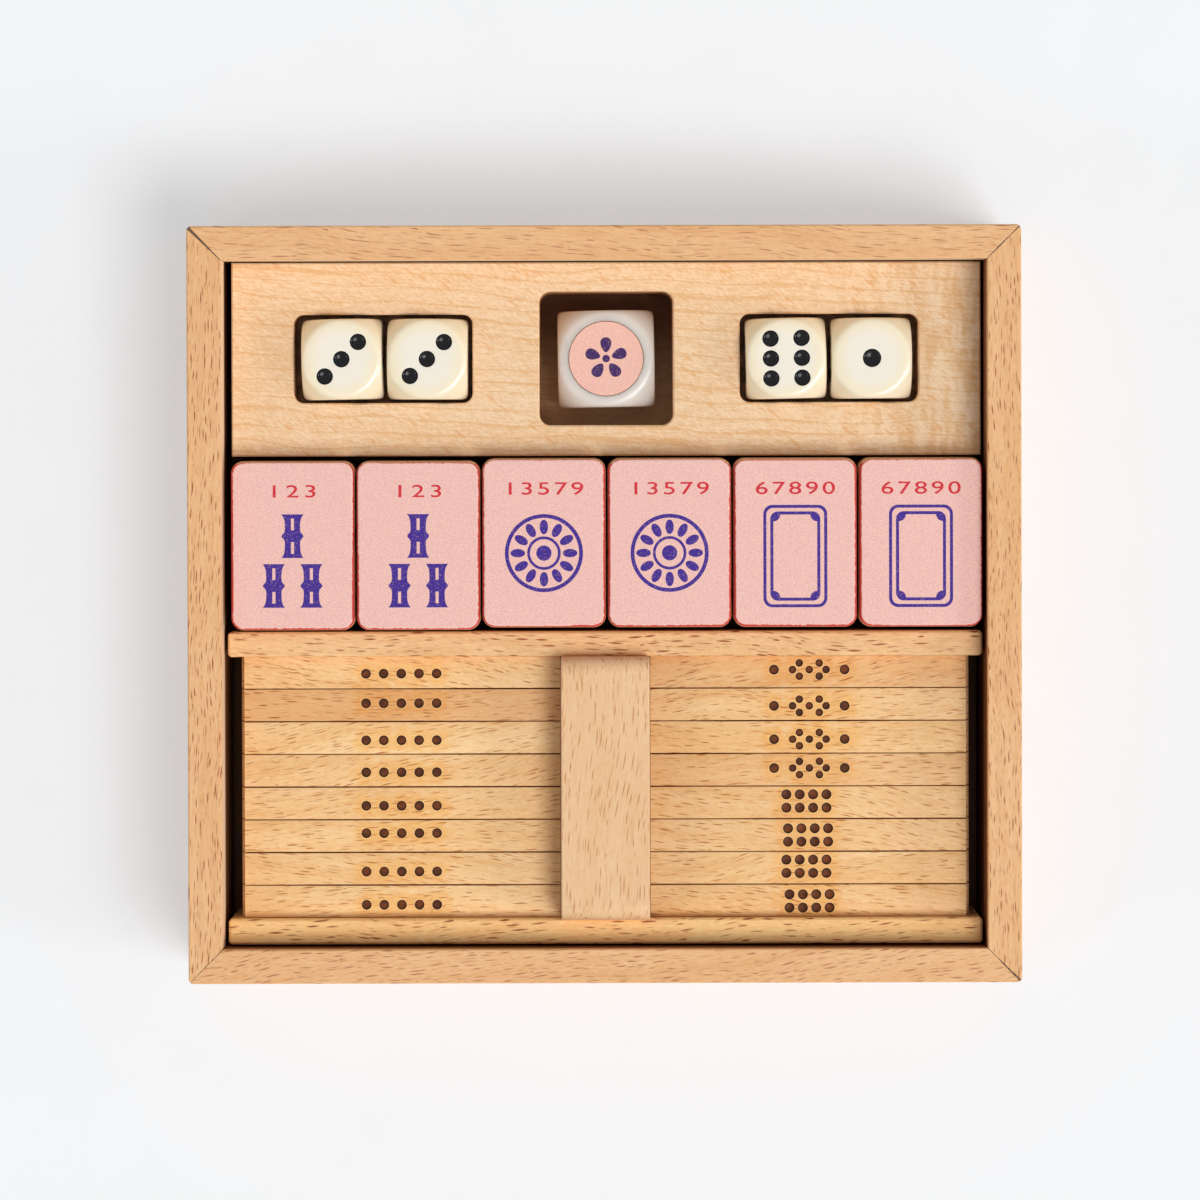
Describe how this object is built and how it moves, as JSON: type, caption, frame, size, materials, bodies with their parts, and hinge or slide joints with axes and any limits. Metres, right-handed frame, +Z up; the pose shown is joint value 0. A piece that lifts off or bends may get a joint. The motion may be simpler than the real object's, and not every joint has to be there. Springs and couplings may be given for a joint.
{
  "type": "mahjong case",
  "caption": "Low open wooden case holding a block with dice and a wind cube, two layers of tiles and a rack of counting sticks, all of which lift out.",
  "frame": {"origin": "on the surface that the case stands on, under the middle of its box", "axes": "+X to the right along the three rows, +Y from the stick rack to the dice block at the back, +Z up"},
  "size_m": [0.164, 0.1492, 0.036],
  "materials": {
    "frame_beech": "oiled beech, satin",
    "floor_board": "plain sanded board",
    "block_maple": "maple, satin lacquer",
    "rack_beech": "oiled beech, satin",
    "stick_wood": "sanded beech with burnt dots",
    "tile_wood": "sanded wood",
    "tile_pink": "fine leather grain",
    "dice_ivory": "polished ivory colour with black pips",
    "cube_opal": "polished opal white"
  },
  "bodies": {
    "case": {"frame_front": "frame_beech", "frame_back": "frame_beech", "frame_left": "frame_beech", "frame_right": "frame_beech", "case_floor": "floor_board"},
    "dice_block": {"dice_block": "block_maple"},
    "die_1": {"die_1": "dice_ivory"},
    "die_2": {"die_2": "dice_ivory"},
    "die_3": {"die_3": "dice_ivory"},
    "die_4": {"die_4": "dice_ivory"},
    "wind_cube": {"wind_cube": "cube_opal"},
    "lower_tile_1": {"lower_tile_1_core": "tile_wood", "lower_tile_1_face": "tile_pink"},
    "upper_tile_1": {"upper_tile_1_core": "tile_wood", "upper_tile_1_face": "tile_pink"},
    "lower_tile_2": {"lower_tile_2_core": "tile_wood", "lower_tile_2_face": "tile_pink"},
    "upper_tile_2": {"upper_tile_2_core": "tile_wood", "upper_tile_2_face": "tile_pink"},
    "lower_tile_3": {"lower_tile_3_core": "tile_wood", "lower_tile_3_face": "tile_pink"},
    "upper_tile_3": {"upper_tile_3_core": "tile_wood", "upper_tile_3_face": "tile_pink"},
    "lower_tile_4": {"lower_tile_4_core": "tile_wood", "lower_tile_4_face": "tile_pink"},
    "upper_tile_4": {"upper_tile_4_core": "tile_wood", "upper_tile_4_face": "tile_pink"},
    "lower_tile_5": {"lower_tile_5_core": "tile_wood", "lower_tile_5_face": "tile_pink"},
    "upper_tile_5": {"upper_tile_5_core": "tile_wood", "upper_tile_5_face": "tile_pink"},
    "lower_tile_6": {"lower_tile_6_core": "tile_wood", "lower_tile_6_face": "tile_pink"},
    "upper_tile_6": {"upper_tile_6_core": "tile_wood", "upper_tile_6_face": "tile_pink"},
    "rack": {"rack_rail_back": "rack_beech", "rack_rail_front": "rack_beech", "rack_floor": "floor_board", "rack_centre_block": "rack_beech"},
    "left_stick_stack": {"left_stick_stack": "stick_wood"},
    "left_stick_1": {"left_stick_1": "stick_wood"},
    "left_stick_2": {"left_stick_2": "stick_wood"},
    "left_stick_3": {"left_stick_3": "stick_wood"},
    "left_stick_4": {"left_stick_4": "stick_wood"},
    "left_stick_5": {"left_stick_5": "stick_wood"},
    "left_stick_6": {"left_stick_6": "stick_wood"},
    "left_stick_7": {"left_stick_7": "stick_wood"},
    "left_stick_8": {"left_stick_8": "stick_wood"},
    "right_stick_stack": {"right_stick_stack": "stick_wood"},
    "right_stick_1": {"right_stick_1": "stick_wood"},
    "right_stick_2": {"right_stick_2": "stick_wood"},
    "right_stick_3": {"right_stick_3": "stick_wood"},
    "right_stick_4": {"right_stick_4": "stick_wood"},
    "right_stick_5": {"right_stick_5": "stick_wood"},
    "right_stick_6": {"right_stick_6": "stick_wood"},
    "right_stick_7": {"right_stick_7": "stick_wood"},
    "right_stick_8": {"right_stick_8": "stick_wood"}
  },
  "joints": [
    {"name": "dice_block_lift", "type": "slide", "parent": "case", "child": "dice_block", "axis": [0, 0, 1], "range_m": [0, 0.045]},
    {"name": "die_1_lift", "type": "slide", "parent": "dice_block", "child": "die_1", "axis": [0, 0, 1], "range_m": [0, 0.03]},
    {"name": "die_2_lift", "type": "slide", "parent": "dice_block", "child": "die_2", "axis": [0, 0, 1], "range_m": [0, 0.03]},
    {"name": "die_3_lift", "type": "slide", "parent": "dice_block", "child": "die_3", "axis": [0, 0, 1], "range_m": [0, 0.03]},
    {"name": "die_4_lift", "type": "slide", "parent": "dice_block", "child": "die_4", "axis": [0, 0, 1], "range_m": [0, 0.03]},
    {"name": "wind_cube_lift", "type": "slide", "parent": "case", "child": "wind_cube", "axis": [0, 0, 1], "range_m": [0, 0.045]},
    {"name": "lower_tile_1_lift", "type": "slide", "parent": "case", "child": "lower_tile_1", "axis": [0, 0, 1], "range_m": [0, 0.04]},
    {"name": "upper_tile_1_lift", "type": "slide", "parent": "lower_tile_1", "child": "upper_tile_1", "axis": [0, 0, 1], "range_m": [0, 0.025]},
    {"name": "lower_tile_2_lift", "type": "slide", "parent": "case", "child": "lower_tile_2", "axis": [0, 0, 1], "range_m": [0, 0.04]},
    {"name": "upper_tile_2_lift", "type": "slide", "parent": "lower_tile_2", "child": "upper_tile_2", "axis": [0, 0, 1], "range_m": [0, 0.025]},
    {"name": "lower_tile_3_lift", "type": "slide", "parent": "case", "child": "lower_tile_3", "axis": [0, 0, 1], "range_m": [0, 0.04]},
    {"name": "upper_tile_3_lift", "type": "slide", "parent": "lower_tile_3", "child": "upper_tile_3", "axis": [0, 0, 1], "range_m": [0, 0.025]},
    {"name": "lower_tile_4_lift", "type": "slide", "parent": "case", "child": "lower_tile_4", "axis": [0, 0, 1], "range_m": [0, 0.04]},
    {"name": "upper_tile_4_lift", "type": "slide", "parent": "lower_tile_4", "child": "upper_tile_4", "axis": [0, 0, 1], "range_m": [0, 0.025]},
    {"name": "lower_tile_5_lift", "type": "slide", "parent": "case", "child": "lower_tile_5", "axis": [0, 0, 1], "range_m": [0, 0.04]},
    {"name": "upper_tile_5_lift", "type": "slide", "parent": "lower_tile_5", "child": "upper_tile_5", "axis": [0, 0, 1], "range_m": [0, 0.025]},
    {"name": "lower_tile_6_lift", "type": "slide", "parent": "case", "child": "lower_tile_6", "axis": [0, 0, 1], "range_m": [0, 0.04]},
    {"name": "upper_tile_6_lift", "type": "slide", "parent": "lower_tile_6", "child": "upper_tile_6", "axis": [0, 0, 1], "range_m": [0, 0.025]},
    {"name": "rack_lift", "type": "slide", "parent": "case", "child": "rack", "axis": [0, 0, 1], "range_m": [0, 0.045]},
    {"name": "left_stick_stack_lift", "type": "slide", "parent": "rack", "child": "left_stick_stack", "axis": [0, 0, 1], "range_m": [0, 0.035]},
    {"name": "left_stick_1_lift", "type": "slide", "parent": "left_stick_stack", "child": "left_stick_1", "axis": [0, 0, 1], "range_m": [0, 0.025]},
    {"name": "left_stick_2_lift", "type": "slide", "parent": "left_stick_stack", "child": "left_stick_2", "axis": [0, 0, 1], "range_m": [0, 0.025]},
    {"name": "left_stick_3_lift", "type": "slide", "parent": "left_stick_stack", "child": "left_stick_3", "axis": [0, 0, 1], "range_m": [0, 0.025]},
    {"name": "left_stick_4_lift", "type": "slide", "parent": "left_stick_stack", "child": "left_stick_4", "axis": [0, 0, 1], "range_m": [0, 0.025]},
    {"name": "left_stick_5_lift", "type": "slide", "parent": "left_stick_stack", "child": "left_stick_5", "axis": [0, 0, 1], "range_m": [0, 0.025]},
    {"name": "left_stick_6_lift", "type": "slide", "parent": "left_stick_stack", "child": "left_stick_6", "axis": [0, 0, 1], "range_m": [0, 0.025]},
    {"name": "left_stick_7_lift", "type": "slide", "parent": "left_stick_stack", "child": "left_stick_7", "axis": [0, 0, 1], "range_m": [0, 0.025]},
    {"name": "left_stick_8_lift", "type": "slide", "parent": "left_stick_stack", "child": "left_stick_8", "axis": [0, 0, 1], "range_m": [0, 0.025]},
    {"name": "right_stick_stack_lift", "type": "slide", "parent": "rack", "child": "right_stick_stack", "axis": [0, 0, 1], "range_m": [0, 0.035]},
    {"name": "right_stick_1_lift", "type": "slide", "parent": "right_stick_stack", "child": "right_stick_1", "axis": [0, 0, 1], "range_m": [0, 0.025]},
    {"name": "right_stick_2_lift", "type": "slide", "parent": "right_stick_stack", "child": "right_stick_2", "axis": [0, 0, 1], "range_m": [0, 0.025]},
    {"name": "right_stick_3_lift", "type": "slide", "parent": "right_stick_stack", "child": "right_stick_3", "axis": [0, 0, 1], "range_m": [0, 0.025]},
    {"name": "right_stick_4_lift", "type": "slide", "parent": "right_stick_stack", "child": "right_stick_4", "axis": [0, 0, 1], "range_m": [0, 0.025]},
    {"name": "right_stick_5_lift", "type": "slide", "parent": "right_stick_stack", "child": "right_stick_5", "axis": [0, 0, 1], "range_m": [0, 0.025]},
    {"name": "right_stick_6_lift", "type": "slide", "parent": "right_stick_stack", "child": "right_stick_6", "axis": [0, 0, 1], "range_m": [0, 0.025]},
    {"name": "right_stick_7_lift", "type": "slide", "parent": "right_stick_stack", "child": "right_stick_7", "axis": [0, 0, 1], "range_m": [0, 0.025]},
    {"name": "right_stick_8_lift", "type": "slide", "parent": "right_stick_stack", "child": "right_stick_8", "axis": [0, 0, 1], "range_m": [0, 0.025]}
  ]
}
